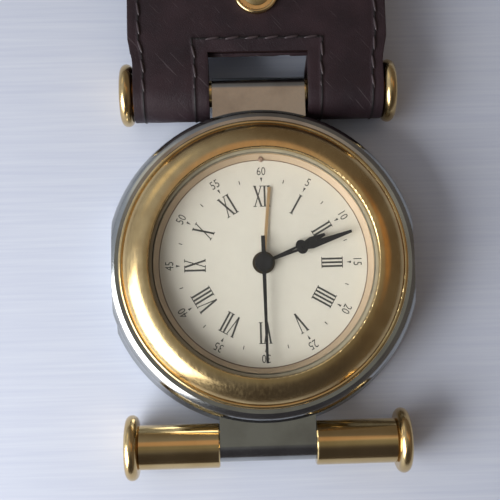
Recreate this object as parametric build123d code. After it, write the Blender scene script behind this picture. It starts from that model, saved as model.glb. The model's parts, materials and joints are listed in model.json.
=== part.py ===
from build123d import *
import os
from math import asin, atan2, cos, degrees, hypot, radians, sin, sqrt

# Pendulette: a small round alarm clock in a steel case with a brass bezel, two crossbars
# and a leather cover. It lies on its back. The origin is the middle of the case back, on
# the table; +Y points to twelve, +Z up.

# Case, from the movement outwards
movement_ring_width = 6.0
case_wall = 4.8
flange_width = 1.4
shoulder_width = 2.1
flat_depth = 2.9
case_bottom = 0.4
flange_height = 2.2
waist_height = 5.8
waist_step = 0.3
shoulder_drop = 3.5
rim_rise = 0.9
back_thickness = 0.9
ledge_thickness = 1.0
ledge_width = 2.6
case_edge = 0.5

# Crossbars
bar_gap = 3.3
bar_height = 7.0
bar_half_length = 30.3
lug_half_width = 10.2
lug_radius = 3.5
rod_radius = 1.5
sleeve_radius = 4.7
sleeve_edge = 0.25
neck_radius = 3.0
neck_length = 0.9
seam_distance = 20.0
seam_width = 0.12
cap_radius = 6.9
cap_thickness = 2.75
cap_dish = 0.3
rod_in_cap = 1.5

# Bezel, glass and dial
bezel_overlap = 0.75
bezel_width = 6.6
bezel_height = 3.9
lip_round = 0.3
bezel_skirt = 1.0
skirt_depth = 1.5
bead_width = 1.0
bead_height = 1.05
dome_foot = 1.35
glass_ledge_width = 0.85
glass_ledge_height = 0.7
glass_gap = 2.25
glass_thickness = 0.8
glass_crown = 0.3
gasket_width = 0.6
gasket_foot = 0.15
gasket_rise = 0.1
dial_play = 0.45
dial_ring_width = 1.4
dial_thickness = 0.4
dial_ring_foot = 0.12
pin_radius = 0.55
pin_length = 0.8

# Fits and gaps
running_gap = 0.07
fit_gap = 0.05
part_gap = 0.3
overrun = 1.0

# Hands, set to the time in the photograph
hour_hand_length = 14.4
minute_hand_length = 19.9
second_hand_length = 21.2
second_tail_length = 5.65
alarm_hand_length = 16.3
hand_thickness = 0.2
hand_step = 0.45
first_hand_gap = 0.3
boss_radius = 1.9
boss_height = 0.35
alarm_boss_radius = 2.4
hub_radius = 1.75
bulb_distance = 8.75
bulb_radius = 1.15
stem_width = 0.55
blade_width = 1.6
tip_width = 0.6
tail_width = 0.85
needle_width = 0.5
alarm_hand_width = 0.65
hour_angle = 23.5
minute_angle = 18.3
second_angle = -89.5
alarm_angle = 84.3

# Movement
housing_bottom = 2.1
housing_wall = 0.9
plate_thickness = 0.7
plate_pivot = 0.4
bush_height = 2.1
wheel_thickness = 0.5
wheel_clearance = 0.2
level_height = 0.8
top_level = 6
middle_plate_radius = 8.6
middle_plate_thickness = 0.45
arbor_radius = 0.35
tube_wall = 0.33
knob_arbor_radius = 0.6
bush_wall = 1.0
module = 0.25
fast_module = 0.2
alarm_module = 0.3
knob_radius = 4.0
knob_thickness = 1.5
knob_recess = 0.35
knurl_depth = 0.25
battery_radius = 5.8
battery_height = 5.4
battery_lift = 0.42
battery_gap = 1.2
battery_wall_gap = 0.7
hatch_margin = 1.1
hatch_lug = 0.9
hatch_lug_width = 2.4
coin_slot_width = 1.2
coin_slot_depth = 0.4
buzzer_radius = 6.0
buzzer_inset = 11.4
switch_inset = 9.3
switch_travel = 3.0
switch_length = 9.0
switch_width = 4.4
nub_size = 2.0
screw_radius = 0.6
screw_head_radius = 1.1
screw_head_height = 0.5

# Leather cover, measured outwards from the upper crossbar
layer_thickness = 1.3
cutout_gap = 0.6
cutout_depth = 7.7
throat_step = 0.8
bridge_length = 4.7
near_stud_inset = 7.7
panel_flare = 1.0
cover_reach = 97.0
droop_inset = 9.7
droop_radius = 25.0
end_length = 14.6
end_stud_inset = 9.0
cover_corner = 6.0
snap_radius = 4.95
snap_height = 1.5
snap_rim = 0.9
snap_post_radius = 1.15
socket_radius = 3.6
socket_height = 1.6
ball_radius = 1.6

# Teeth of the wheels
second_teeth = 40
second_pinion_teeth = 8
third_teeth = 60
third_pinion_teeth = 8
centre_teeth = 64
step_teeth = 36
step_pinion_teeth = 8
rotor_teeth = 6
cannon_teeth = 10
motion_teeth = 30
motion_pinion_teeth = 8
hour_teeth = 32
time_teeth = 12
alarm_teeth = 26
alarm_set_teeth = 38

# Shares of a tooth's pitch at its root, middle and tip, and of the module for its depth
root_share = 0.29
flank_share = 0.21
tip_share = 0.10
tooth_depth_share = 1.2

# Shares of the shoulder's width and height where its rounding passes
shoulder_width_share = 0.72
shoulder_drop_share = 0.30

# Share of the snap's height at its groove
snap_groove_share = 0.45

# Directions of the axes from the middle, in degrees
motion_angle = 160
alarm_set_angle = 20
third_angle = 90
step_angle = -120
rotor_angle = -135
battery_angle = -47.6
buzzer_angle = 55.4
switch_angle = 117.2
back_screw_angles = (45, 135, 225, 315)
post_angles = (0, 165, 275)
pillar_angles = (-11, 187, 289)
board_post_angles = (60, 120)

FLAT_BOTTOM = (Align.CENTER, Align.CENTER, Align.MIN)
LOW_CORNER = (Align.MIN, Align.MIN, Align.MIN)


def polar(radius, angle, place=(0, 0)):
    """A place at a distance and an angle in degrees from another place."""
    return place[0] + radius * cos(radians(angle)), place[1] + radius * sin(radians(angle))


def level(number):
    """Height of the underside of the wheels on one level of the movement."""
    return housing_bottom + plate_thickness + wheel_clearance + number * level_height


def spacing(size, teeth_a, teeth_b):
    """Distance between the axes of two wheels in mesh."""
    return size * (teeth_a + teeth_b) / 2


# Radii that follow, from the battery beside the wheels out to the crossbars
battery_distance = middle_plate_radius + battery_gap + battery_radius
housing_radius = battery_distance + battery_radius + battery_wall_gap + housing_wall
bore_radius = housing_radius + movement_ring_width
ring_radius = bore_radius + case_wall
case_radius = ring_radius + flange_width
rim_radius = ring_radius - shoulder_width
flat_half_width = case_radius - flat_depth
bar_offset = case_radius + bar_gap
ledge_radius = bore_radius - ledge_width
rebate_radius = bore_radius + bezel_skirt
bezel_radius = rebate_radius + bezel_overlap
bezel_inner_radius = bezel_radius - bezel_width
dial_radius = bezel_inner_radius - dial_play
dial_visible_radius = dial_radius - dial_ring_width
hatch_radius = battery_radius + hatch_margin

# Heights that follow
ledge_top = back_thickness + ledge_thickness
housing_floor = housing_bottom + plate_thickness
middle_plate_low = level(2)
front_plate_low = level(top_level) + wheel_thickness + wheel_thickness
front_plate_top = front_plate_low + plate_thickness
dial_low = front_plate_top + bush_height
dial_height = dial_low + dial_thickness
case_top = dial_height + rim_rise
shoulder_height = case_top - shoulder_drop
rebate_low = case_top - skirt_depth
bezel_top = case_top + bezel_height
glass_height = dial_height + glass_gap
glass_low = glass_height + gasket_foot
glass_top = glass_low + glass_thickness
cannon_radius = arbor_radius + running_gap + tube_wall
hour_tube_radius = cannon_radius + running_gap + tube_wall
alarm_tube_radius = hour_tube_radius + running_gap + tube_wall
battery_low = back_thickness + battery_lift
battery_top = battery_low + battery_height
loop_inner_radius = sleeve_radius + 2 * fit_gap
loop_radius = loop_inner_radius + layer_thickness
cover_height = bar_height + loop_inner_radius
cover_thickness = 2 * layer_thickness
sleeve_end = bar_half_length - cap_thickness
cover_half_width = sleeve_end - part_gap
cutout_half_width = lug_half_width + cutout_gap
throat_depth = cutout_depth + throat_step
fold_distance = throat_depth + bridge_length
stud_distance = fold_distance + near_stud_inset
flat_length = stud_distance + droop_inset
alarm_hand_low = dial_height + first_hand_gap
hour_hand_low = alarm_hand_low + hand_step
minute_hand_low = hour_hand_low + hand_step
second_hand_low = minute_hand_low + hand_step

# Axes of the movement
motion_place = polar(spacing(module, cannon_teeth, motion_teeth), motion_angle)
time_place = polar(spacing(module, motion_teeth, time_teeth), motion_angle, motion_place)
alarm_set_place = polar(spacing(alarm_module, alarm_teeth, alarm_set_teeth), alarm_set_angle)
third_distance = spacing(fast_module, third_pinion_teeth, centre_teeth)
third_module = third_distance * 2 / (second_pinion_teeth + third_teeth)
third_place = polar(third_distance, third_angle)
step_place = polar(spacing(module, step_pinion_teeth, second_teeth), step_angle)
rotor_place = polar(spacing(fast_module, step_teeth, rotor_teeth), rotor_angle, step_place)

# Places of the battery, the sounder and the alarm switch
battery_place = polar(battery_distance, battery_angle)
buzzer_place = polar(bore_radius - buzzer_inset, buzzer_angle)
switch_place = polar(bore_radius - switch_inset, switch_angle)

parts = {}


def disc(radius, low, high, place=(0, 0), bore=0):
    """A round plate or pin along Z, with an optional hole."""
    body = Pos(*place, low) * Cylinder(radius, high - low, align=FLAT_BOTTOM)
    if bore:
        body -= Pos(*place, low - overrun) * Cylinder(bore, high - low + 2 * overrun, align=FLAT_BOTTOM)
    return body


def block(low, high):
    """A box between two corners."""
    size = [b - a for a, b in zip(low, high)]
    return Pos(*low) * Box(*size, align=LOW_CORNER)


def turned(*edges):
    """A body turned about Z from a closed outline of radius and height."""
    return revolve(Plane.XZ * make_face(edges), Axis.Z)


def domed(radius, low, edge, top):
    """A round piece that is flat below and bulges from its edge to its top."""
    rise = top - edge
    sphere_radius = (radius**2 + rise**2) / (2 * rise)
    return disc(radius, low, top + overrun) & Pos(0, 0, top - sphere_radius) * Sphere(sphere_radius)


def along_bar(shape, side, distance, y):
    """Lays a shape that stands on Z along a crossbar, pointing outwards from a distance."""
    return Pos(side * distance, y, bar_height) * Rot(0, side * 90, 0) * shape


def facing(angle, teeth_a, phase_a, teeth_b):
    """The phase that puts wheel b, at the given angle from wheel a, in mesh with it."""
    pitch_a, pitch_b = 360 / teeth_a, 360 / teeth_b
    return angle + 180 - pitch_b * (0.5 - (angle - phase_a) / pitch_a)


def gear(teeth, size, low, place=(0, 0), phase=0, bore=0):
    """A toothed wheel one wheel thick: six points a tooth, with play at the flanks."""
    pitch = 360 / teeth
    radius = size * teeth / 2
    root = (radius - tooth_depth_share * size, root_share)
    flank = [root, (radius, flank_share), (radius + size, tip_share)]
    points = []
    for tooth in range(teeth):
        middle = phase + tooth * pitch
        points += [polar(r, middle - share * pitch) for r, share in flank]
        points += [polar(r, middle + share * pitch) for r, share in reversed(flank)]
    face = make_face(Polyline(*points, close=True))
    body = Pos(*place, low) * extrude(face, wheel_thickness)
    if bore:
        body -= disc(bore, low - overrun, low + wheel_thickness + overrun, place)
    return body


# Steel case
def lug():
    """The lug at twelve: flat on top, rounded over the crossbar, and bored for its rod."""
    barrel = Pos(0, bar_offset, bar_height) * Rot(0, 90, 0) * Cylinder(lug_radius, 2 * lug_half_width)
    neck = block(
        (-lug_half_width, rebate_radius + fit_gap, bar_height - lug_radius),
        (lug_half_width, bar_offset, bar_height + lug_radius),
    )
    return barrel + neck - Pos(0, bar_offset, bar_height) * Rot(0, 90, 0) * Cylinder(
        rod_radius + fit_gap, 2 * lug_half_width + 2 * overrun
    )


def case_body():
    """The shell: flange, waist, ring, rounded shoulder and rim, with a ledge for the back cover."""
    shoulder = (ring_radius, shoulder_height)
    rim = (rim_radius, case_top)
    middle = (
        rim_radius + shoulder_width_share * (ring_radius - rim_radius),
        case_top - shoulder_drop_share * (case_top - shoulder_height),
    )
    outside = Polyline(
        (ledge_radius, back_thickness),
        (bore_radius, back_thickness),
        (bore_radius, case_bottom),
        (case_radius - case_edge, case_bottom),
        (case_radius, case_bottom + case_edge),
        (case_radius, case_bottom + flange_height),
        (ring_radius - waist_step, waist_height),
        (ring_radius, waist_height + waist_step),
        shoulder,
    )
    inside = Polyline(
        rim,
        (rebate_radius, case_top),
        (rebate_radius, rebate_low),
        (bore_radius, rebate_low),
        (bore_radius, ledge_top),
        (ledge_radius, ledge_top),
        (ledge_radius, back_thickness),
    )
    body = turned(outside, ThreePointArc(shoulder, middle, rim), inside)
    body += lug() + Rot(0, 0, 180) * lug()
    side = block(
        (flat_half_width, -case_radius, case_bottom - overrun),
        (case_radius + overrun, case_radius, case_top + overrun),
    )
    body -= side + Rot(0, 0, 180) * side
    for place in screw_places:
        body -= disc(screw_radius + fit_gap / 2, back_thickness - overrun, ledge_top + overrun, place)
    return body


screw_places = [polar(bore_radius - ledge_width / 2, angle) for angle in back_screw_angles]


def case_back():
    """The back cover, with holes for the knobs, the hatch, the alarm switch, the sound and four screws."""
    body = disc(bore_radius - fit_gap, 0, back_thickness)
    for place in (time_place, alarm_set_place):
        body -= disc(knob_radius + part_gap, -overrun, back_thickness + overrun, place)
    body -= disc(hatch_radius + running_gap, -overrun, back_thickness + overrun, battery_place)
    notch_half = hatch_lug_width / 2 + fit_gap
    notch_reach = hatch_radius + hatch_lug + 2 * fit_gap
    notch = block((-notch_reach, -notch_half, -overrun), (notch_reach, notch_half, back_thickness + overrun))
    body -= Pos(*battery_place) * Rot(0, 0, hatch_turn_angle) * notch
    x, y = switch_place
    slot_half = nub_size / 2 + fit_gap
    body -= block(
        (x - slot_half, y - slot_half, -overrun),
        (x + switch_travel + slot_half, y + slot_half, back_thickness + overrun),
    )
    rail_outer = switch_width / 2 + 2 * wheel_thickness
    for side in (1, -1):
        rail = block(
            (-switch_length / 2, switch_width / 2 + fit_gap, back_thickness),
            (switch_length / 2 + switch_travel, rail_outer, back_thickness + wheel_thickness),
        )
        body += Pos(x, y) * (rail if side > 0 else mirror(rail, Plane.XZ))
    for place in sound_places:
        body -= disc(sound_hole_radius, -overrun, back_thickness + overrun, place)
    for place in screw_places:
        body -= disc(screw_radius + fit_gap, -overrun, back_thickness + overrun, place)
        body -= Pos(*place, 0) * screw_head(fit_gap)
    return body


hatch_turn_angle = 45
sound_hole_radius = 0.5
sound_ring_radius = 2.2
sound_places = [polar(sound_ring_radius, angle, buzzer_place) for angle in range(0, 360, 60)]
sound_places.append(buzzer_place)


def screw_head(gap=0):
    """A countersunk head at the back face, with room around it where it is a cut."""
    head = Cone(screw_head_radius + gap, screw_radius + gap, screw_head_height, align=FLAT_BOTTOM)
    return Pos(0, 0, fit_gap) * head + disc(screw_head_radius + gap, -gap, fit_gap) if gap else head


def case_screws():
    """Four countersunk screws with a slot across the head."""
    slot = block(
        (-screw_head_radius, -sleeve_edge / 2, -overrun),
        (screw_head_radius, sleeve_edge / 2, screw_head_height / 2),
    )
    screw = screw_head() + disc(screw_radius, screw_head_height, ledge_top - 4 * fit_gap) - slot
    return [Pos(*place, fit_gap) * screw for place in screw_places]


# Brass bezel, glass, gasket, dial and the ring around it
def bezel():
    """A ring that slopes from its inner lip to a bead, with a skirt in the case and a glass ledge."""
    dome_radius = bezel_radius - bead_width
    ledge = bezel_inner_radius - glass_ledge_width
    ledge_low = glass_height - glass_ledge_height
    skirt_inner = bore_radius - 2 * fit_gap
    rim = (bezel_inner_radius, bezel_top - lip_round)
    crest = (bezel_inner_radius + lip_round, bezel_top)
    foot = (dome_radius, case_top + dome_foot)
    bead = (dome_radius, case_top + bead_height)
    bead_end = (bezel_radius, case_top + bead_height / 2)
    below = Polyline(
        bead_end,
        (bezel_radius, case_top),
        (rebate_radius - fit_gap, case_top),
        (rebate_radius - fit_gap, rebate_low + fit_gap),
        (skirt_inner, rebate_low + fit_gap),
        (skirt_inner, case_top + 2 * fit_gap),
        (bezel_inner_radius + gasket_rise, case_top + 2 * fit_gap),
        (bezel_inner_radius + gasket_rise, ledge_low),
        (ledge, ledge_low),
        (ledge, glass_height),
        (bezel_inner_radius, glass_height),
        rim,
    )
    lip = TangentArc(rim, crest, tangent=(0, 1))
    dome = TangentArc(crest, foot, tangent=(1, 0))
    bead_top = (dome_radius + bead_width / 2, case_top + bead_height + bead_height / 4)
    return turned(below, lip, dome, Line(foot, bead), ThreePointArc(bead, bead_top, bead_end))


def crystal():
    """The glass: flat below, slightly crowned above."""
    return domed(bezel_inner_radius - gasket_width, glass_low, glass_top, glass_top + glass_crown)


def crystal_gasket():
    """The ring that holds the glass in the bezel, with a foot under the glass."""
    outer = bezel_inner_radius - fit_gap / 2
    wall_bore = bezel_inner_radius - gasket_width + fit_gap / 2
    wall = disc(outer, glass_height, glass_top + gasket_rise / 2, bore=wall_bore)
    return wall + disc(outer, glass_height, glass_low, bore=bezel_inner_radius - glass_ledge_width)


def dial_ring():
    """The sloping ring between the dial and the glass, with a hole for the pin at twelve."""
    outer = dial_radius + 4 * fit_gap
    top = glass_height - glass_ledge_height
    body = turned(
        Polyline(
            (dial_visible_radius, dial_height),
            (dial_visible_radius, dial_height + dial_ring_foot),
            (bezel_inner_radius - glass_ledge_width, top),
            (outer, top),
            (outer, dial_height),
            close=True,
        )
    )
    return body - disc(pin_radius + fit_gap / 2, dial_height - overrun, top + overrun, pin_place)


pin_place = polar(dial_visible_radius, 90)


def twelve_pin():
    """A small round-headed pin that marks twelve, half on the dial and half in the ring."""
    pin = disc(pin_radius, dial_height, dial_height + pin_length, pin_place)
    return fillet(pin.edges().group_by(Axis.Z)[-1], pin_radius / 2)


def movement_ring():
    """The spacer that centres the movement and carries the dial."""
    return turned(
        Polyline(
            (housing_radius + 2 * fit_gap, ledge_top),
            (bore_radius - 4 * fit_gap, ledge_top),
            (bore_radius - 4 * fit_gap, dial_low),
            (housing_radius - 3 * plate_thickness / 2, dial_low),
            (housing_radius - 3 * plate_thickness / 2, front_plate_top),
            (housing_radius + 2 * fit_gap, front_plate_top),
            close=True,
        )
    )


# Crossbars
def sleeve():
    """A brass tube with broken edges, standing on Z."""
    bore = rod_radius + fit_gap
    length = sleeve_end - lug_half_width - fit_gap
    return turned(
        Polyline(
            (bore, 0),
            (sleeve_radius - sleeve_edge, 0),
            (sleeve_radius, sleeve_edge),
            (sleeve_radius, length - sleeve_edge),
            (sleeve_radius - sleeve_edge, length),
            (bore, length),
            close=True,
        )
    )


def end_cap():
    """A brass end cap with a full round rim and a dished face, standing on Z with its inner face down."""
    half = cap_thickness / 2
    lower, middle, upper = (cap_radius - half, 0), (cap_radius, half), (cap_radius - half, cap_thickness)
    face = cap_thickness - cap_dish
    cap = turned(
        Polyline((0, face), (0, 0), lower),
        ThreePointArc(lower, middle, upper),
        Polyline(upper, (cap_radius - cap_thickness, face), (0, face)),
    )
    return cap - disc(rod_radius + fit_gap, -overrun, rod_in_cap + 2 * fit_gap)


def crossbars():
    """Two bars, each a rod through its lug with sleeves and caps; the upper sleeves have a neck."""
    for name, y in (("top", bar_offset), ("bottom", -bar_offset)):
        rod = Cylinder(rod_radius, 2 * (sleeve_end + rod_in_cap))
        parts[name + "_rod"] = Pos(0, y, bar_height) * Rot(0, 90, 0) * rod
        for word, side in (("left", -1), ("right", 1)):
            tube = along_bar(sleeve(), side, lug_half_width + fit_gap, y)
            if name == "top":
                neck = disc(sleeve_radius + overrun, -overrun, neck_length, bore=neck_radius)
                tube -= along_bar(neck, side, lug_half_width + fit_gap, y)
            if (name, word) == ("bottom", "left"):
                ring = disc(
                    sleeve_radius + overrun, 0, seam_width, bore=sleeve_radius - seam_width
                )
                tube -= along_bar(ring, side, seam_distance, y)
            parts[f"{name}_{word}_sleeve"] = tube
            parts[f"{name}_{word}_cap"] = along_bar(end_cap(), side, sleeve_end, y)


# Hands
def spade_hand(length, angle, low, bore):
    """A hand with a round boss, a thin stem, a round bulb and a tapering blade."""
    half_stem, half_blade, half_tip = stem_width / 2, blade_width / 2, tip_width / 2
    shoulder = bulb_distance + 2 * bulb_radius
    outline = Polyline(
        (0, -half_stem),
        (bulb_distance, -half_stem),
        (shoulder, -half_blade),
        (length, -half_tip),
        (length, half_tip),
        (shoulder, half_blade),
        (bulb_distance, half_stem),
        (0, half_stem),
        close=True,
    )
    hand = Pos(0, 0, low) * extrude(make_face(outline), hand_thickness)
    hand += disc(bulb_radius, low, low + hand_thickness, (bulb_distance, 0))
    hand += disc(boss_radius, low, low + hand_thickness)
    hand -= disc(bore + fit_gap / 2, low - overrun, low + overrun)
    return Rot(0, 0, angle) * hand


def second_hand():
    """The needle, with a tail and a round hub that covers the end of its arbor."""
    needle = Polyline(
        (-second_tail_length, -tail_width / 2),
        (0, -tail_width / 2),
        (second_hand_length, -needle_width / 2),
        (second_hand_length, needle_width / 2),
        (0, tail_width / 2),
        (-second_tail_length, tail_width / 2),
        close=True,
    )
    hand = Pos(0, 0, second_hand_low) * extrude(make_face(needle), hand_thickness)
    hand += disc(hub_radius, second_hand_low, second_hand_low + boss_height)
    hand -= disc(arbor_radius + fit_gap / 2, second_hand_low - overrun, second_hand_low + boss_height / 2)
    return Rot(0, 0, second_angle) * hand


def alarm_hand():
    """A plain narrow hand on the lowest boss."""
    half = alarm_hand_width / 2
    hand = block((0, -half, alarm_hand_low), (alarm_hand_length, half, alarm_hand_low + hand_thickness))
    hand += disc(alarm_boss_radius, alarm_hand_low - hand_thickness / 2, alarm_hand_low + hand_thickness)
    hand -= disc(alarm_tube_radius + fit_gap / 2, alarm_hand_low - overrun, alarm_hand_low + overrun)
    return Rot(0, 0, alarm_angle) * hand


# Wheels, from the second wheel outwards; each phase follows from the wheel before it
second_pinion_phase = 0
second_phase = 0
third_phase = facing(third_angle, second_pinion_teeth, second_pinion_phase, third_teeth)
third_pinion_phase = 0
centre_phase = facing(third_angle + 180, third_pinion_teeth, third_pinion_phase, centre_teeth)
step_pinion_phase = facing(step_angle, second_teeth, second_phase, step_pinion_teeth)
step_phase = 0
rotor_phase = facing(rotor_angle, step_teeth, step_phase, rotor_teeth)
cannon_phase = 0
motion_phase = facing(motion_angle, cannon_teeth, cannon_phase, motion_teeth)
motion_pinion_phase = 0
hour_phase = facing(motion_angle + 180, motion_pinion_teeth, motion_pinion_phase, hour_teeth)
time_phase = facing(motion_angle, motion_teeth, motion_phase, time_teeth)
alarm_phase = 0
alarm_set_phase = facing(alarm_set_angle, alarm_teeth, alarm_phase, alarm_set_teeth)


def second_wheel():
    """Arbor of the second hand, with its wheel and the pinion that drives the third wheel."""
    arbor = disc(arbor_radius, housing_floor - plate_pivot + fit_gap, second_hand_low + boss_height / 4)
    pinion = gear(second_pinion_teeth, third_module, level(0), phase=second_pinion_phase)
    hub = disc(2 * arbor_radius, level(0) + wheel_thickness, level(1))
    return arbor + pinion + hub + gear(second_teeth, module, level(1), phase=second_phase)


def third_wheel():
    """Reduction wheel between the second wheel and the centre wheel."""
    low = housing_floor - plate_pivot + fit_gap
    arbor = disc(arbor_radius, low, front_plate_low + plate_pivot / 2, third_place)
    wheel = gear(third_teeth, third_module, level(0), third_place, third_phase)
    return arbor + wheel + gear(third_pinion_teeth, fast_module, level(3), third_place, third_pinion_phase)


def centre_wheel():
    """The wheel that carries the minute tube round through a slipping fit."""
    return gear(centre_teeth, fast_module, level(3), phase=centre_phase, bore=cannon_radius + running_gap)


def step_wheel():
    """Reduction wheel between the rotor and the second wheel."""
    top = middle_plate_low + middle_plate_thickness / 2
    arbor = disc(arbor_radius, housing_floor - plate_pivot + fit_gap, top, step_place)
    wheel = gear(step_teeth, fast_module, level(0), step_place, step_phase)
    return arbor + wheel + gear(step_pinion_teeth, module, level(1), step_place, step_pinion_phase)


def rotor():
    """The magnet of the stepping motor with its pinion."""
    top = middle_plate_low + middle_plate_thickness / 2
    arbor = disc(arbor_radius, housing_floor - plate_pivot + fit_gap, top, rotor_place)
    magnet = disc(rotor_radius, level(0) + wheel_thickness, level(1) + wheel_thickness, rotor_place)
    return arbor + magnet + gear(rotor_teeth, fast_module, level(0), rotor_place, rotor_phase)


rotor_radius = 1.5


def tube(radius, low, high):
    """A tube of the hand work about the middle."""
    return disc(radius, low, high, bore=radius - tube_wall)


def cannon_pinion():
    """Tube of the minute hand, with the pinion that drives the motion wheel."""
    low = middle_plate_low + middle_plate_thickness + fit_gap
    pinion = gear(cannon_teeth, module, level(4), phase=cannon_phase, bore=cannon_radius - tube_wall)
    return tube(cannon_radius, low, minute_hand_low + hand_thickness) + pinion


def motion_wheel():
    """Wheel and pinion between the minute tube and the hour tube, loose on their post."""
    bore = post_radius + running_gap
    wheel = gear(motion_teeth, module, level(4), motion_place, motion_phase, bore)
    web = disc(2 * post_radius, level(4) + wheel_thickness, level(5), motion_place, bore)
    pinion = gear(motion_pinion_teeth, module, level(5), motion_place, motion_pinion_phase)
    pinion -= disc(post_radius + running_gap, level(5) - overrun, level(5) + overrun, motion_place)
    return wheel + web + pinion


post_radius = 0.35


def hour_wheel():
    """Tube of the hour hand with its wheel."""
    wheel = gear(hour_teeth, module, level(5), phase=hour_phase, bore=hour_tube_radius - tube_wall)
    return tube(hour_tube_radius, level(5), hour_hand_low + hand_thickness) + wheel


def alarm_wheel():
    """Tube of the alarm hand with its wheel."""
    wheel = gear(alarm_teeth, alarm_module, level(6), phase=alarm_phase, bore=alarm_tube_radius - tube_wall)
    return tube(alarm_tube_radius, level(6), alarm_hand_low + hand_thickness) + wheel


def knob(place, top):
    """A knurled knob sunk in the case back, on a long arbor."""
    points = []
    for rib in range(knurl_ribs):
        points.append(polar(knob_radius, rib * 360 / knurl_ribs))
        points.append(polar(knob_radius - knurl_depth, (rib + 0.5) * 360 / knurl_ribs))
    grip = extrude(make_face(Polyline(*points, close=True)), knob_thickness)
    grip -= disc(knob_radius / 2, -overrun, knurl_depth)
    arbor = disc(knob_arbor_radius, knob_recess + knob_thickness, top, place)
    return Pos(*place, knob_recess) * grip + arbor


knurl_ribs = 28


def time_knob():
    """Knob that sets the time, with the pinion that turns the motion wheel."""
    pinion = gear(time_teeth, module, level(4), time_place, time_phase)
    return knob(time_place, front_plate_low + plate_pivot / 2) + pinion


def alarm_knob():
    """Knob that sets the alarm, with its wheel."""
    wheel = gear(alarm_set_teeth, alarm_module, level(6), alarm_set_place, alarm_set_phase)
    return knob(alarm_set_place, front_plate_low + plate_pivot / 2) + wheel


# Housing and plates
post_inset = 2.88
pillar_inset = 0.9
board_post_inset = 3.6
post_places = [polar(housing_radius - post_inset, angle) for angle in post_angles]
pillar_places = [polar(middle_plate_radius - pillar_inset, angle) for angle in pillar_angles]
board_post_places = [polar(housing_radius - board_post_inset, angle) for angle in board_post_angles]
screw_post_radius = 1.3
pillar_radius = 0.6
board_thickness = 0.6
board_height = battery_top - board_thickness
board_inset = 2.0
board_width = 9.8
board_outer_radius = housing_radius - board_inset
board_inner_radius = board_outer_radius - board_width


def rear_housing():
    """A cup with the rear pivots, the battery well and the posts that carry the plates and the board."""
    wall = disc(housing_radius, housing_floor, front_plate_low, bore=housing_radius - housing_wall)
    body = disc(housing_radius, housing_bottom, housing_floor) + wall
    below, above = housing_bottom - overrun, housing_floor + overrun
    body -= disc(battery_radius + part_gap, below, above, battery_place)
    for place in (time_place, alarm_set_place):
        body -= disc(knob_arbor_radius + running_gap, below, above, place)
    for place in ((0, 0), third_place, step_place, rotor_place):
        body -= disc(arbor_radius + running_gap, housing_floor - plate_pivot, above, place)
    for place in post_places:
        body += disc(screw_post_radius, housing_floor, front_plate_low, place)
        body -= disc(screw_radius, level(2), front_plate_low + overrun, place)
    for place in pillar_places:
        body += disc(pillar_radius, housing_floor, middle_plate_low, place)
    for place in board_post_places:
        body += disc(pillar_radius, housing_floor, board_height, place)
    return body


def middle_plate():
    """The plate that carries the upper pivots of the fast wheels."""
    top = middle_plate_low + middle_plate_thickness
    body = disc(middle_plate_radius, middle_plate_low, top)
    body += disc(rotor_radius + part_gap, middle_plate_low, top, rotor_place)
    for place in ((0, 0), third_place, step_place, rotor_place):
        body -= disc(arbor_radius + running_gap, middle_plate_low - overrun, top + overrun, place)
    return body


def front_plate():
    """The lid of the movement, with the bush of the hand tubes and the post of the motion wheel."""
    body = disc(housing_radius, front_plate_low, front_plate_top)
    body += disc(alarm_tube_radius + running_gap + bush_wall, front_plate_top, dial_low - fit_gap)
    body -= disc(alarm_tube_radius + running_gap, front_plate_low - overrun, dial_low + overrun)
    body += disc(post_radius, level(4) - fit_gap, front_plate_low, motion_place)
    knob_pivots = [(place, knob_arbor_radius) for place in (time_place, alarm_set_place)]
    for place, radius in [(third_place, arbor_radius), *knob_pivots]:
        body -= disc(radius + running_gap, front_plate_low - overrun, front_plate_low + plate_pivot, place)
    for place in post_places:
        body -= disc(screw_radius + fit_gap, front_plate_low - overrun, front_plate_top + overrun, place)
    return body


def movement_screws():
    """Three screws that hold the front plate to the housing."""
    head = disc(screw_head_radius, front_plate_top, front_plate_top + screw_head_height)
    head -= block(
        (-screw_head_radius, -sleeve_edge / 2, front_plate_top + screw_head_height / 2),
        (screw_head_radius, sleeve_edge / 2, front_plate_top + screw_head_height + overrun),
    )
    screw = head + disc(screw_radius - fit_gap / 2, level(3), front_plate_top)
    return [Pos(*place) * screw for place in post_places]


# Stepping motor, board, battery and buzzer
motor_angle = degrees(atan2(rotor_place[1], rotor_place[0]))
rotor_distance = hypot(*rotor_place)
stator_half_length = 8.6
stator_inner = 2.3
stator_outer = 2.9
stator_leg_width = 2.0
coil_distance = 6.4
coil_radius = 1.9
core_width = 1.8
core_height = 1.0


def stator():
    """A flat yoke with a round window for the magnet and two legs that reach the core."""
    top = level(1) + wheel_thickness
    low_x, high_x = rotor_distance - stator_inner, rotor_distance + stator_outer
    yoke = block((low_x, -stator_half_length, level(1)), (high_x, stator_half_length, top))
    reach = rotor_distance + coil_distance + core_width / 2
    leg = block(
        (high_x, stator_half_length - stator_leg_width, level(1)),
        (reach, stator_half_length, top),
    )
    window = disc(rotor_radius + part_gap, level(1) - overrun, top + overrun, (rotor_distance, 0))
    return Rot(0, 0, motor_angle) * (yoke + leg + mirror(leg, Plane.XZ) - window)


def core_bar(gap=0):
    """The core of the coil, lying on the yoke's legs, with room around it where it is a cut."""
    low = level(1) + wheel_thickness
    x = rotor_distance + coil_distance
    return block(
        (x - core_width / 2 - gap, -stator_half_length, low - gap),
        (x + core_width / 2 + gap, stator_half_length, low + core_height + gap),
    )


def coil_core():
    return Rot(0, 0, motor_angle) * core_bar()


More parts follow.
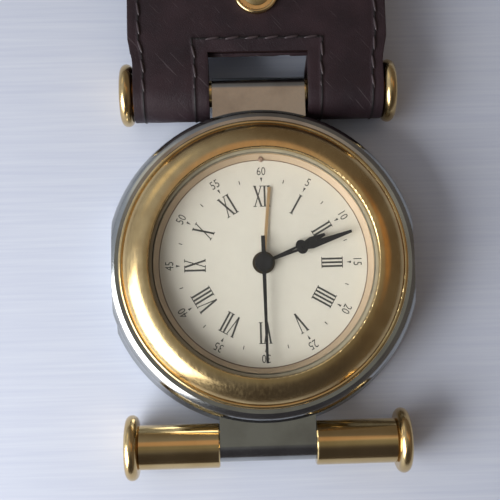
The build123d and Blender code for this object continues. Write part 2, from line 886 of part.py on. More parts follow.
def coil_winding():
    """The winding, between the yoke's legs."""
    half = stator_half_length - stator_leg_width - fit_gap
    place = Pos(rotor_distance + coil_distance, 0, level(1) + wheel_thickness + core_height / 2)
    winding = place * Rot(90, 0, 0) * Cylinder(coil_radius, 2 * half)
    return Rot(0, 0, motor_angle) * (winding - core_bar(fit_gap))


board_angles = (25, 145)


def circuit_board():
    """A curved board on two posts."""
    first, last = board_angles
    ring = disc(board_outer_radius, board_height, board_height + board_thickness, bore=board_inner_radius)
    reach = 2 * board_outer_radius
    corners = [polar(reach, angle) for angle in (first, (first + last) / 2, last)]
    wedge = make_face(Polyline((0, 0), *corners, close=True))
    return ring & Pos(0, 0, board_height) * extrude(wedge, board_thickness)


can_radius = 0.95
can_length = 6.0
can_inset = 6.0
chip_radius = 2.2
chip_height = 0.8
chip_inset = 5.5
chip_place = polar(board_outer_radius - chip_inset, 120)


def quartz_can():
    """The crystal's metal can, lying on the board."""
    height = board_height + board_thickness + can_radius
    can = fillet(Cylinder(can_radius, can_length).edges(), can_radius / 4)
    return Pos(0, board_outer_radius - can_inset, height) * Rot(0, 90, 0) * can


def chip_cover():
    """The round drop of resin over the chip."""
    low = board_height + board_thickness
    return Pos(*chip_place) * domed(chip_radius, low, low + chip_height / 4, low + chip_height)


def battery():
    """A button cell, with its cap below and its case above."""
    step = battery_height / 6
    cell = disc(battery_radius, battery_low + step, battery_top, battery_place)
    return cell + disc(battery_radius - step, battery_low, battery_low + step, battery_place)


strip_thickness = 0.2
minus_width = 2.0
plus_width = 1.4
minus_end = polar(board_outer_radius - minus_width, 37)
plus_end = polar(board_outer_radius - plus_width / 2, 31)
tab_angle = 25


def strip(start, end, width, low):
    """A flat contact strip between two places."""
    length = hypot(end[0] - start[0], end[1] - start[1])
    turn = degrees(atan2(end[1] - start[1], end[0] - start[0]))
    flat = block((0, -width / 2, low), (length, width / 2, low + strip_thickness))
    return Pos(*start) * Rot(0, 0, turn) * flat


def top_contact():
    """Spring strip from the top of the battery to the board."""
    return strip(battery_place, minus_end, minus_width, battery_top)


def side_contact():
    """Strip that touches the side of the battery and runs to the board."""
    near = battery_radius + fit_gap
    far = near + plus_width
    half = plus_width / 2
    foot = block((near, -half, battery_top), (far, half, battery_top + strip_thickness))
    tab = block((near, -half, battery_top - battery_height / 2), (near + strip_thickness, half, battery_top))
    start = polar(far - half, tab_angle, battery_place)
    run = strip(start, plus_end, plus_width, battery_top)
    return Pos(*battery_place) * Rot(0, 0, tab_angle) * (foot + tab) + run


def buzzer_disc():
    """The sounder: a brass disc with a smaller ceramic one, on the inside of the case back."""
    middle = back_thickness + strip_thickness
    body = disc(buzzer_radius, back_thickness, middle, buzzer_place)
    return body + disc(buzzer_radius - overrun, middle, middle + strip_thickness, buzzer_place)


# Back controls
def battery_hatch():
    """A round hatch with a coin slot and two lugs that turn behind the case back."""
    low = fit_gap
    shelf = back_thickness + running_gap
    top = battery_low - running_gap
    body = disc(hatch_radius, low, top)
    reach = hatch_radius + hatch_lug
    lugs = block((-reach, -hatch_lug_width / 2, shelf), (reach, hatch_lug_width / 2, top))
    slot = block(
        (-hatch_radius / 2, -coin_slot_width / 2, low - overrun),
        (hatch_radius / 2, coin_slot_width / 2, low + coin_slot_depth),
    )
    return Pos(*battery_place) * (body + lugs - slot)


def alarm_switch():
    """A slide behind the case back with a nub through its slot."""
    low = back_thickness + running_gap
    slide = block(
        (-switch_length / 2, -switch_width / 2, low),
        (switch_length / 2, switch_width / 2, low + wheel_thickness),
    )
    half = nub_size / 2
    nub = block((-half, -half, knob_recess), (half, half, low))
    return Pos(*switch_place) * (slide + nub)


# Leather cover
def upright(face, half_width, inner):
    """Two slabs along X from a face of distance and height, one on each side of a gap."""
    slab = Pos(inner, 0, 0) * extrude(Plane.YZ * face, half_width - inner)
    return slab + mirror(slab, Plane.YZ)


def hull_face(radius, corners):
    """A face around the crossbar's circle and some corners beyond it."""
    circle = CenterArc((0, 0), radius, 0, 360)
    outline = Polyline(*corners, close=True)
    return make_hull(circle.edges() + outline.edges())


def cover_loops():
    """The end of the cover that wraps the sleeves: two loops, joined across the cut-out."""
    upper = loop_radius
    middle = loop_inner_radius
    lower = middle - layer_thickness
    outer = hull_face(loop_radius, [(0, upper), (throat_depth, upper), (throat_depth, lower)])
    eye = hull_face(loop_inner_radius, [(0, middle), (throat_depth - layer_thickness, middle), (0, 0)])
    section = Pos(bar_offset, bar_height) * (outer - eye)
    loops = upright(section, cover_half_width, cutout_half_width)
    low = (-cover_half_width, bar_offset + cutout_depth, bar_height + lower)
    bridge = block(low, (cover_half_width, bar_offset + fold_distance, bar_height + upper))
    corner = block(
        (cutout_half_width, bar_offset, 0),
        (cover_half_width + overrun, bar_offset + throat_depth, bar_height + upper + overrun),
    )
    bridge -= corner + mirror(corner, Plane.YZ)
    fold = Pos(0, bar_offset + fold_distance, cover_height) * Rot(0, 90, 0)
    edge = fold * Cylinder(layer_thickness, 2 * cover_half_width)
    return loops + bridge + edge


def droop_slope():
    """Angle and length of the straight slope between the bends that take the cover to the table."""
    across = cover_reach - flat_length - end_length
    rise = 2 * droop_radius - (cover_height - socket_height - layer_thickness)
    between = hypot(across, rise)
    angle = asin(2 * droop_radius / between) - atan2(rise, across)
    return degrees(angle), sqrt(between**2 - (2 * droop_radius) ** 2)


def cover_path():
    """The middle of the panel, from the fold to the free end on the table."""
    angle, straight = droop_slope()
    start = fold_distance + layer_thickness + part_gap
    flat = Line((bar_offset + start, cover_height), (bar_offset + flat_length, cover_height))
    down = JernArc(flat @ 1, flat % 1, droop_radius, -angle)
    slope = Line(down @ 1, down @ 1 + (down % 1) * straight)
    up = JernArc(slope @ 1, slope % 1, droop_radius, angle)
    return flat, down, slope, up, Line(up @ 1, up @ 1 + (up % 1) * end_length)


def end_stud_place():
    """Distance of the snap near the free end."""
    return (cover_path()[-1] @ 1).X - end_stud_inset


def cover_panel():
    """The rest of the cover: flat near the bar, then drooping to the table, with two snap holes."""
    edges = cover_path()
    start = edges[0] @ 0
    section = Plane((0, start.X, start.Y), x_dir=(1, 0, 0), z_dir=(0, 1, 0))
    path = Wire([Plane.YZ * edge for edge in edges])
    panel_width = 2 * (cover_half_width + panel_flare)
    body = sweep(section * Rectangle(panel_width, cover_thickness), path=path)
    far = body.edges().filter_by(Axis.Z).group_by(Axis.Y)[-1]
    body = fillet(far, cover_corner)
    for y in (bar_offset + stud_distance, end_stud_place()):
        body -= disc(snap_post_radius + fit_gap, -overrun, cover_height + cover_height, (0, y))
    return body


def snap_cap(height):
    """A ringed brass cap on the leather with its post through both layers."""
    groove = snap_groove_share * snap_height
    inner = snap_radius - 2 * snap_rim
    bead_outer, bead_inner = (snap_radius, groove), (snap_radius - snap_rim, groove)
    bead_top = (snap_radius - snap_rim / 2, groove + snap_rim / 2)
    bead = turned(
        Polyline(bead_inner, (bead_inner[0], 0), (snap_radius, 0), bead_outer),
        ThreePointArc(bead_outer, bead_top, bead_inner),
    )
    base = disc(snap_radius - snap_rim / 2, 0, groove)
    dome = domed(inner, 0, groove + snap_rim / 4, snap_height)
    post = disc(snap_post_radius, -cover_thickness, groove)
    return Pos(0, 0, height) * (base + bead + dome + post)


def near_socket():
    """The snap's socket under the leather."""
    top = cover_height - layer_thickness
    body = disc(socket_radius, top - socket_height, top)
    body -= disc(ball_radius + fit_gap, 0, top - socket_height / 3)
    return Pos(0, bar_offset + stud_distance) * body


def end_stud():
    """The snap's stud under the free end; it rests on the table."""
    plate = disc(socket_radius, socket_height - socket_height / 3, socket_height)
    ball = disc(ball_radius, 0, socket_height)
    ball = fillet(ball.edges().group_by(Axis.Z)[0], ball_radius / 4)
    return Pos(0, end_stud_place()) * (plate + ball)


def make_case():
    parts["case_body"] = case_body()
    parts["case_back"] = case_back()
    parts["case_screws"] = Compound(case_screws())
    parts["bezel"] = bezel()
    parts["crystal"] = crystal()
    parts["crystal_gasket"] = crystal_gasket()
    parts["dial_ring"] = dial_ring()
    parts["twelve_pin"] = twelve_pin()
    parts["dial"] = disc(dial_radius, dial_low, dial_height, bore=alarm_tube_radius + part_gap)
    parts["movement_ring"] = movement_ring()
    parts["battery_hatch"] = battery_hatch()
    parts["alarm_switch"] = alarm_switch()


def make_movement():
    parts["rear_housing"] = rear_housing()
    parts["middle_plate"] = middle_plate()
    parts["front_plate"] = front_plate()
    parts["movement_screws"] = Compound(movement_screws())
    parts["stator"] = stator()
    parts["coil_core"] = coil_core()
    parts["coil_winding"] = coil_winding()
    parts["circuit_board"] = circuit_board()
    parts["quartz_can"] = quartz_can()
    parts["chip_cover"] = chip_cover()
    parts["battery"] = battery()
    parts["top_contact"] = top_contact()
    parts["side_contact"] = side_contact()
    parts["buzzer_disc"] = buzzer_disc()


def make_wheels_and_hands():
    parts["second_wheel"] = second_wheel()
    parts["third_wheel"] = third_wheel()
    parts["centre_wheel"] = centre_wheel()
    parts["step_wheel"] = step_wheel()
    parts["rotor"] = rotor()
    parts["cannon_pinion"] = cannon_pinion()
    parts["motion_wheel"] = motion_wheel()
    parts["hour_wheel"] = hour_wheel()
    parts["alarm_wheel"] = alarm_wheel()
    parts["time_knob"] = time_knob()
    parts["alarm_knob"] = alarm_knob()
    parts["hour_hand"] = spade_hand(hour_hand_length, hour_angle, hour_hand_low, hour_tube_radius)
    parts["minute_hand"] = spade_hand(minute_hand_length, minute_angle, minute_hand_low, cannon_radius)
    parts["second_hand"] = second_hand()
    parts["alarm_hand"] = alarm_hand()


def make_cover():
    top = cover_height + layer_thickness
    parts["cover_loops"] = cover_loops()
    parts["cover_panel"] = cover_panel()
    parts["near_snap_cap"] = Pos(0, bar_offset + stud_distance) * snap_cap(top)
    parts["near_snap_socket"] = near_socket()
    parts["end_snap_cap"] = Pos(0, end_stud_place()) * snap_cap(socket_height + cover_thickness)
    parts["end_snap_stud"] = end_stud()


make_case()
crossbars()
make_movement()
make_wheels_and_hands()
make_cover()

os.makedirs("parts", exist_ok=True)
for node, shape in parts.items():
    export_step(shape, f"parts/{node}.step")
print(len(parts), "pieces")
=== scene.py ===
# %% [markdown]
# # A travel clock with a leather cover
# This lesson dresses a small round alarm clock that lies on a pale table. The clock's
# hard pieces come from its CAD model, and Blender adds what CAD doesn't hold: the leather
# with its stitches, the printing on the dial, and the finish of every surface.

# %% Load the clock
import json
import math

import bmesh
import bpy
from mathutils import Matrix, Vector, noise
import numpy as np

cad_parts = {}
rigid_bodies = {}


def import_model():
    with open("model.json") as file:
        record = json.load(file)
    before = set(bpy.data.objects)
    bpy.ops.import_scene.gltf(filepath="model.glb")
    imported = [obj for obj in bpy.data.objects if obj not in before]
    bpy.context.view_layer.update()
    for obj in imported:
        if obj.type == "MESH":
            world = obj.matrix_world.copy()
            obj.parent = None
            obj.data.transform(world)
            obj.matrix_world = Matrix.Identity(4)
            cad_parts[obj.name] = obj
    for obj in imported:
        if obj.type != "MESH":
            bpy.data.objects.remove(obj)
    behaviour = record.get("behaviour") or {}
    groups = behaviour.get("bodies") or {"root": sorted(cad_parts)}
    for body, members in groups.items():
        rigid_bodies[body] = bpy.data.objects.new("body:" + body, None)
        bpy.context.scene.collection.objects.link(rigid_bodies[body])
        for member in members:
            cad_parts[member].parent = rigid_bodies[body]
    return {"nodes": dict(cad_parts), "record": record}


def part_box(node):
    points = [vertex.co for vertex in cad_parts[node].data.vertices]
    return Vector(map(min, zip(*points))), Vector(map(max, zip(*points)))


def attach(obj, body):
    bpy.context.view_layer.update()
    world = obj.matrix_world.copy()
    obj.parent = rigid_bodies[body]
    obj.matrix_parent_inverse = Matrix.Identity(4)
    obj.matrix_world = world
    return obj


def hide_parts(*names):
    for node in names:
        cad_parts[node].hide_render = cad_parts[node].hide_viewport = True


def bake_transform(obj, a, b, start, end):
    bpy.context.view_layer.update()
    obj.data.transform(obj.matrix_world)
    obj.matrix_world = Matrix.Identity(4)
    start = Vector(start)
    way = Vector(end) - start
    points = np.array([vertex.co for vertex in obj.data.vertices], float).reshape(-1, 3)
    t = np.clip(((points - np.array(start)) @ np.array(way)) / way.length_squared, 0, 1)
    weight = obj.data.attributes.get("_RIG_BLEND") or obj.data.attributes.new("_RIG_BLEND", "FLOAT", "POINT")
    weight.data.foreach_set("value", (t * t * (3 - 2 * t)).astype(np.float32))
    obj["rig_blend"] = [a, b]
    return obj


for leftover in list(bpy.data.objects):
    bpy.data.objects.remove(leftover)
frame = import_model()
bpy.context.view_layer.update()
mm = 0.001

# %% [markdown]
# ## Camera
# The photograph was taken from about 20 cm above the clock. The camera's place and turn
# were worked out from the crossbars, the dial and the bezel, so the render can be laid
# over the photograph. The lens is given by its focal length in pixels of a 500 pixel frame.

# %% Camera
frame_pixels = 500
focal_pixels = 892.5
camera_data = bpy.data.cameras.new("camera")
camera_data.sensor_width = 36
camera_data.lens = focal_pixels / frame_pixels * camera_data.sensor_width
camera_data.clip_start = 0.01
camera = bpy.data.objects.new("camera", camera_data)
bpy.context.scene.collection.objects.link(camera)
camera.location = Vector((-7.842, -16.685, 201.549)) * mm
camera.rotation_euler = [math.radians(angle) for angle in (5.9225, -1.3558, -1.5697)]
bpy.context.scene.camera = camera
print("lens", round(camera_data.lens, 2), "mm")

# %% [markdown]
# ## Light
# Polished metal shows the room more than its own colour. One large window stands low
# beyond the lower left corner of the picture. It makes the broad glint on the bezel's left
# side, and because it is low, the bezel's wall shades the left of the dial.

# %% Window
bpy.context.scene.view_settings.view_transform = "Standard"


def toward(azimuth, elevation):
    """A direction from the clock: azimuth from +X towards +Y, elevation from the table."""
    azimuth, elevation = math.radians(azimuth), math.radians(elevation)
    flat = math.cos(elevation)
    return Vector((flat * math.cos(azimuth), flat * math.sin(azimuth), math.sin(elevation)))


window_place, window_distance = (208, 28), 0.33
window_size, window_power, window_spread = (0.3, 0.26), 0.74, 110
lamp = bpy.data.lights.new("window", "AREA")
lamp.shape = "RECTANGLE"
lamp.size, lamp.size_y = window_size
lamp.energy = window_power
lamp.spread = math.radians(window_spread)
lamp.color = (0.97, 0.98, 1.0)
window = bpy.data.objects.new("window", lamp)
bpy.context.scene.collection.objects.link(window)
window.location = toward(*window_place) * window_distance
window.rotation_mode = "QUATERNION"
window.rotation_quaternion = toward(*window_place).to_track_quat("Z", "Y")
print("window at", [round(part, 3) for part in window.location])

# %% [markdown]
# The rest of the room is a world of soft round patches of light, laid over one another.
# Each has a direction, an angle up to which it is full and one at which it is gone. It is
# pale on the window's side and dim elsewhere. A small bright patch at the upper left, warm
# ones beyond three and twelve and a dark one beyond six give the curved brass its streaks.

# %% Room
world = bpy.data.worlds.new("room")
bpy.context.scene.world = world
world.use_nodes = True
room = world.node_tree
look = room.nodes.new("ShaderNodeTexCoord").outputs["Generated"]


def patch(under, azimuth, elevation, inner, outer, colour):
    """Light of a colour round a direction, full up to one angle and gone at another."""
    near = room.nodes.new("ShaderNodeVectorMath")
    near.operation = "DOT_PRODUCT"
    near.inputs[1].default_value = toward(azimuth, elevation)
    room.links.new(look, near.inputs[0])
    fade = room.nodes.new("ShaderNodeMapRange")
    fade.interpolation_type = "SMOOTHSTEP"
    fade.inputs["From Min"].default_value = math.cos(math.radians(outer))
    fade.inputs["From Max"].default_value = math.cos(math.radians(inner))
    room.links.new(near.outputs["Value"], fade.inputs["Value"])
    mix = room.nodes.new("ShaderNodeMix")
    mix.data_type = "RGBA"
    room.links.new(fade.outputs["Result"], mix.inputs["Factor"])
    room.links.new(under, mix.inputs["A"])
    mix.inputs["B"].default_value = (*colour, 1)
    return mix.outputs["Result"]


room_patches = {
    "pale window side": (180, 25, 25, 85, (0.5, 0.54, 0.62)),
    "bright upper left": (133, 30, 5, 15, (0.95, 0.9, 0.78)),
    "warm beyond three": (17, 55, 4, 15, (0.5, 0.28, 0.13)),
    "pale upper right": (45, 74, 4, 14, (0.75, 0.72, 0.62)),
    "dim overhead": (0, 90, 6, 26, (0.26, 0.25, 0.21)),
    "dark beyond six": (275, 35, 12, 52, (0.06, 0.055, 0.06)),
    "warm beyond twelve": (90, 68, 5, 16, (0.6, 0.42, 0.3)),
}
walls = room.nodes.new("ShaderNodeRGB")
walls.outputs[0].default_value = (0.15, 0.13, 0.115, 1)
glow = walls.outputs[0]
for values in room_patches.values():
    glow = patch(glow, *values)
room.links.new(glow, room.nodes["Background"].inputs["Color"])
room.nodes["Background"].inputs["Strength"].default_value = 1.0
print("a room with", ", ".join(room_patches))

# %% [markdown]
# ## Helpers for finishes
# Every finish is a small node tree round one Principled shader. Patterns are placed in
# millimetres, because the model is in metres and a grain of leather or a scratch is far
# smaller than that.


# %% Finish helpers
class Finish:
    """A material in the making: adds nodes and links with few words."""

    def __init__(self, name, coordinates="Object"):
        self.material = bpy.data.materials.new(name)
        self.material.use_nodes = True
        self.tree = self.material.node_tree
        self.shader = self.tree.nodes["Principled BSDF"]
        self.source = self.tree.nodes.new("ShaderNodeTexCoord").outputs[coordinates]

    def link(self, output, socket):
        self.tree.links.new(output, socket)

    def set(self, **values):
        for name, value in values.items():
            self.shader.inputs[name.replace("_", " ")].default_value = value

    def millimetres(self, stretch=(1, 1, 1), turn=0):
        """Coordinates in millimetres, turned about Z and then stretched."""
        turned = self.tree.nodes.new("ShaderNodeMapping")
        turned.inputs["Rotation"].default_value = (0, 0, math.radians(turn))
        self.link(self.source, turned.inputs["Vector"])
        node = self.tree.nodes.new("ShaderNodeMapping")
        node.inputs["Scale"].default_value = [1000 * share for share in stretch]
        self.link(turned.outputs["Vector"], node.inputs["Vector"])
        return node.outputs["Vector"]

    def cloud(self, scale, detail=3, stretch=(1, 1, 1), turn=0):
        """Noise with so many spots a millimetre."""
        node = self.tree.nodes.new("ShaderNodeTexNoise")
        node.inputs["Scale"].default_value = scale
        node.inputs["Detail"].default_value = detail
        self.link(self.millimetres(stretch, turn), node.inputs["Vector"])
        return node.outputs["Fac"]

    def remap(self, value, low, high, to_low, to_high):
        """A value moved from one range to another, and held within it."""
        node = self.tree.nodes.new("ShaderNodeMapRange")
        for name, number in zip(
            ("From Min", "From Max", "To Min", "To Max"), (low, high, to_low, to_high)
        ):
            node.inputs[name].default_value = number
        self.link(value, node.inputs["Value"])
        return node.outputs["Result"]

    def blend(self, share, first, second):
        """A mix of two colours."""
        node = self.tree.nodes.new("ShaderNodeMix")
        node.data_type = "RGBA"
        self.link(share, node.inputs["Factor"])
        for socket, colour in ((node.inputs["A"], first), (node.inputs["B"], second)):
            if isinstance(colour, bpy.types.NodeSocket):
                self.link(colour, socket)
            else:
                socket.default_value = (*colour, 1)
        return node.outputs["Result"]

    def relief(self, height, depth, under=None):
        """Bumps of a depth in millimetres, on top of others."""
        node = self.tree.nodes.new("ShaderNodeBump")
        node.inputs["Strength"].default_value = 1
        node.inputs["Distance"].default_value = depth * mm
        self.link(height, node.inputs["Height"])
        if under:
            self.link(under, node.inputs["Normal"])
        return node.outputs["Normal"]


# %% [markdown]
# ## Metals
# The bezel, bars and snaps are polished brass that has been handled: a soft gloss, a
# slightly darker tone in patches, and faint hair scratches. The case is steel of the same
# age. One recipe makes both. A noise that is stretched one way drives the gloss and a very
# shallow relief, which costs far less than modelling the scratches.


# %% Metals
def worn_metal(name, bright, dull, rough=(0.13, 0.2), drawn=(1, 1, 1), scratch=0.0004):
    """Polished metal with patches, and hair scratches along the stretched direction."""
    finish = Finish(name)
    finish.set(Metallic=1.0)
    patches = finish.remap(finish.cloud(0.15, 4), 0.4, 0.7, 0, 1)
    finish.link(finish.blend(patches, bright, dull), finish.shader.inputs["Base Color"])
    hairs = finish.cloud(2.5, 3, drawn)
    gloss = finish.remap(hairs, 0.35, 0.7, *rough)
    finish.link(gloss, finish.shader.inputs["Roughness"])
    finish.link(finish.relief(hairs, scratch), finish.shader.inputs["Normal"])
    return finish.material


bright_brass = (0.66, 0.49, 0.24)
brass = worn_metal(
    "brass", bright_brass, (0.53, 0.37, 0.17), (0.17, 0.27), (1, 0.2, 1), scratch=0.0003
)
drawn_brass = worn_metal(
    "drawn_brass", bright_brass, (0.56, 0.4, 0.18), (0.1, 0.18), (0.1, 3, 3)
)
steel = worn_metal("steel", (0.42, 0.43, 0.42), (0.33, 0.33, 0.32), (0.14, 0.22))
gilt = worn_metal("gilt", (0.5, 0.38, 0.25), (0.45, 0.34, 0.22), (0.45, 0.55))
gilt.node_tree.nodes["Principled BSDF"].inputs["Metallic"].default_value = 0.2
nickel = worn_metal("nickel", (0.66, 0.65, 0.62), (0.55, 0.54, 0.5), (0.15, 0.25))
iron = worn_metal("iron", (0.42, 0.42, 0.42), (0.3, 0.29, 0.28), (0.35, 0.5))
magnet = worn_metal("magnet", (0.2, 0.2, 0.22), (0.15, 0.15, 0.15), (0.45, 0.6))
plain_brass = worn_metal("plain_brass", (0.8, 0.62, 0.33), (0.7, 0.5, 0.25), (0.25, 0.4))
print("eight metals")

# %% [markdown]
# ## Plastics and lacquers
# Nothing moulded or painted is perfectly even. A cloud shifts the colour a little, and a
# finer one makes the skin of the surface.


# %% Plastics and lacquers
def moulded(name, colour, shade=0.85, rough=(0.35, 0.5), skin=0.003, grain=4):
    """Plastic or lacquer with a slightly uneven colour and skin."""
    finish = Finish(name)
    tone = finish.remap(finish.cloud(0.5), 0.35, 0.65, 0, 1)
    darker = tuple(shade * part for part in colour)
    finish.link(finish.blend(tone, colour, darker), finish.shader.inputs["Base Color"])
    surface = finish.cloud(grain, 2)
    gloss = finish.remap(surface, 0.3, 0.7, *rough)
    finish.link(gloss, finish.shader.inputs["Roughness"])
    finish.link(finish.relief(surface, skin), finish.shader.inputs["Normal"])
    return finish.material


black_plastic = moulded("black_plastic", (0.03, 0.03, 0.033))
wheel_plastic = moulded("wheel_plastic", (0.78, 0.76, 0.68))
plate_plastic = moulded("plate_plastic", (0.62, 0.63, 0.6))
gasket_plastic = moulded("gasket_plastic", (0.42, 0.38, 0.27))
hand_black = moulded("hand_black", (0.012, 0.012, 0.014), 0.7, (0.25, 0.4), 0.001)
pin_brown = moulded("pin_brown", (0.3, 0.2, 0.14))
board_green = moulded("board_green", (0.03, 0.13, 0.06), 0.7, (0.3, 0.5))
dial_ink = moulded("dial_ink", (0.06, 0.06, 0.053), 0.8, (0.5, 0.6), 0.0005)
dial_cream = moulded("dial_cream", (0.76, 0.72, 0.6), 0.97, (0.42, 0.5), 0.0008, 9)
print("nine plastics and lacquers")

# %% [markdown]
# The alarm hand is gold lacquer, but its boss is left dark. The distance from the middle of
# the dial tells the two apart.

# %% Gold hand
gold = Finish("hand_gold")
gold.set(Metallic=0.6, Roughness=0.36)
from_middle = gold.tree.nodes.new("ShaderNodeVectorMath")
from_middle.operation = "LENGTH"
gold.link(gold.millimetres((1, 1, 0)), from_middle.inputs[0])
beyond_boss = gold.remap(from_middle.outputs["Value"], 2.5, 2.6, 0, 1)
gold_colour = gold.blend(beyond_boss, (0.07, 0.052, 0.032), (0.62, 0.42, 0.21))
gold.link(gold_colour, gold.shader.inputs["Base Color"])
hand_gold = gold.material
print("gold hand")

# %% [markdown]
# The coil in the movement is wound with hundreds of turns of lacquered copper wire. It is
# sealed in, so a wave pattern along the coil stands for the wires.

# %% Copper wire
wire = Finish("copper_wire")
wire.set(Metallic=0.7, Roughness=0.35)
turns = wire.tree.nodes.new("ShaderNodeTexWave")
turns.inputs["Scale"].default_value = 3
wire.link(wire.millimetres(turn=-54), turns.inputs["Vector"])
colour = wire.blend(turns.outputs["Fac"], (0.35, 0.1, 0.03), (0.7, 0.28, 0.1))
wire.link(colour, wire.shader.inputs["Base Color"])
wire.link(wire.relief(turns.outputs["Fac"], 0.03), wire.shader.inputs["Normal"])
print("copper wire")

# %% [markdown]
# ## Glass
# Glass needs little: a smooth shader that lets light through.

# %% Glass
glass = Finish("glass")
glass.set(Roughness=0.02, IOR=1.45, Transmission_Weight=1.0)
clear = glass.tree.nodes.new("ShaderNodeBsdfTransparent")
ray = glass.tree.nodes.new("ShaderNodeLightPath")
swap = glass.tree.nodes.new("ShaderNodeMixShader")
glass.link(ray.outputs["Is Shadow Ray"], swap.inputs[0])
glass.link(glass.shader.outputs[0], swap.inputs[1])
glass.link(clear.outputs[0], swap.inputs[2])
glass.link(swap.outputs[0], glass.tree.nodes["Material Output"].inputs["Surface"])
print("glass")

# %% [markdown]
# ## Dressing the CAD pieces
# Each CAD piece keeps its shape and gets the finish of its material slot. The sleeves are
# drawn tube, so their scratches run along the bar.

# %% Dress the CAD pieces
finish_of_slot = {
    "steel": steel,
    "brass": brass,
    "glass": glass.material,
    "gasket": gasket_plastic,
    "gilt": gilt,
    "pin_brown": pin_brown,
    "dial_ivory": dial_cream,
    "black_plastic": black_plastic,
    "hatch_steel": steel,
    "clear_plastic": plate_plastic,
    "wheel_plastic": wheel_plastic,
    "arbor_brass": plain_brass,
    "magnet": magnet,
    "iron": iron,
    "copper": wire.material,
    "board_green": board_green,
    "can_metal": nickel,
    "sounder_brass": plain_brass,
    "hand_black": hand_black,
    "hand_gold": hand_gold,
}
for part in frame["record"]["subparts"]:
    if part["material_slot"] in finish_of_slot:
        node = frame["nodes"][part["node"]]
        drawn = part["node"].endswith("sleeve")
        chosen = drawn_brass if drawn else finish_of_slot[part["material_slot"]]
        for place in node.material_slots:
            place.material = chosen

# %% [markdown]
# ## Helper for new pieces
# A new piece is drawn as a bmesh in millimetres, scaled to metres once, and then rides on
# the body that carries it.


# %% Piece helper
def make_piece(name, bm, finishes, smooth=True):
    """An object from a bmesh drawn in millimetres."""
    bmesh.ops.scale(bm, vec=(mm, mm, mm), verts=bm.verts)
    mesh = bpy.data.meshes.new(name)
    bm.to_mesh(mesh)
    bm.free()
    for finish in finishes:
        mesh.materials.append(finish)
    for face in mesh.polygons:
        face.use_smooth = smooth
    piece = bpy.data.objects.new(name, mesh)
    bpy.context.scene.collection.objects.link(piece)
    print(name, len(mesh.polygons), "faces")
    return piece


# %% [markdown]
# ## Printing on the dial
# The hours are Roman numerals that stand on the middle of the dial with their tops
# outwards. Each letter is a few flat strokes: a thick one, a thin one and serifs. They
# are drawn a fiftieth of a millimetre high, like thick ink, so that they also exist in
# the exported model.

# %% Roman numerals
dial_top = 12.0
ink_height = 0.02
letter_height = 4.4
thick_stroke, thin_stroke, serif_stroke = 0.41, 0.21, 0.17
print_middle = Vector((0, -0.25))
hour_step = 30
serif_inset = 0.34
letter_width = {"I": 0.8, "V": 2.0, "X": 2.05}


def stroke(bm, start, end, width):
    """One flat stroke between two points."""
    start, end = Vector((*start, 0)), Vector((*end, 0))
    run = end - start
    made = bmesh.ops.create_cube(bm, size=1)["verts"]
    place = (
        Matrix.Translation((start + end) / 2 + Vector((0, 0, dial_top + ink_height / 2)))
        @ Matrix.Rotation(math.atan2(run.y, run.x), 4, "Z")
        @ Matrix.Diagonal((run.length, width, ink_height, 1))
    )
    bmesh.ops.transform(bm, matrix=place, verts=made)
    return made


def letter(bm, sign, left):
    """One Roman letter that starts at a distance from the numeral's left end."""
    half, width = letter_height / 2, letter_width[sign]
    middle, right = left + width / 2, left + width
    inset = serif_inset
    lines = {
        "I": [((middle, -half), (middle, half), thick_stroke)],
        "V": [
            ((left + inset, half), (middle, -half), thick_stroke),
            ((right - inset, half), (middle, -half), thin_stroke),
        ],
        "X": [
            ((left + inset, half), (right - inset, -half), thick_stroke),
            ((right - inset, half), (left + inset, -half), thin_stroke),
        ],
    }[sign]
    feet = {
        "I": [(left, right, -half), (left, right, half)],
        "V": [(left, left + 2 * inset, half), (right - 2 * inset, right, half)],
        "X": [
            (start, start + 2 * inset, y)
            for start in (left, right - 2 * inset)
            for y in (-half, half)
        ],
    }[sign]
    made = [vert for line in lines for vert in stroke(bm, *line)]
    for start, end, y in feet:
        made += stroke(bm, (start, y), (end, y), serif_stroke)
    return made


def at_hour(hour):
    """The turn that carries a print from twelve to its hour."""
    turn = Matrix.Rotation(math.radians(-hour_step * hour), 4, "Z")
    return Matrix.Translation((*print_middle, 0)) @ turn


def numeral(bm, word, hour, radius):
    """A Roman numeral at its hour, with its top outwards."""
    left = -sum(letter_width[sign] for sign in word) / 2
    made = []
    for sign in word:
        made += letter(bm, sign, left)
        left += letter_width[sign]
    place = at_hour(hour) @ Matrix.Translation((0, radius, 0))
    bmesh.ops.transform(bm, matrix=place, verts=made)


numeral_radius = 14.6
numerals = bmesh.new()
words = ("XII", "I", "II", "III", "IIII", "V", "VI", "VII", "VIII", "IX", "X", "XI")
for hour, word in enumerate(words):
    numeral(numerals, word, hour, numeral_radius)
hour_numerals = make_piece("hour_numerals", numerals, [dial_ink], False)
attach(hour_numerals, "clock")

# %% [markdown]
# The minutes are small figures round the edge. They come from Blender's own font, made
# into a mesh, narrowed, and turned to their places. Between them and the numerals is a
# small wedge at each hour and a short tick at each half hour.

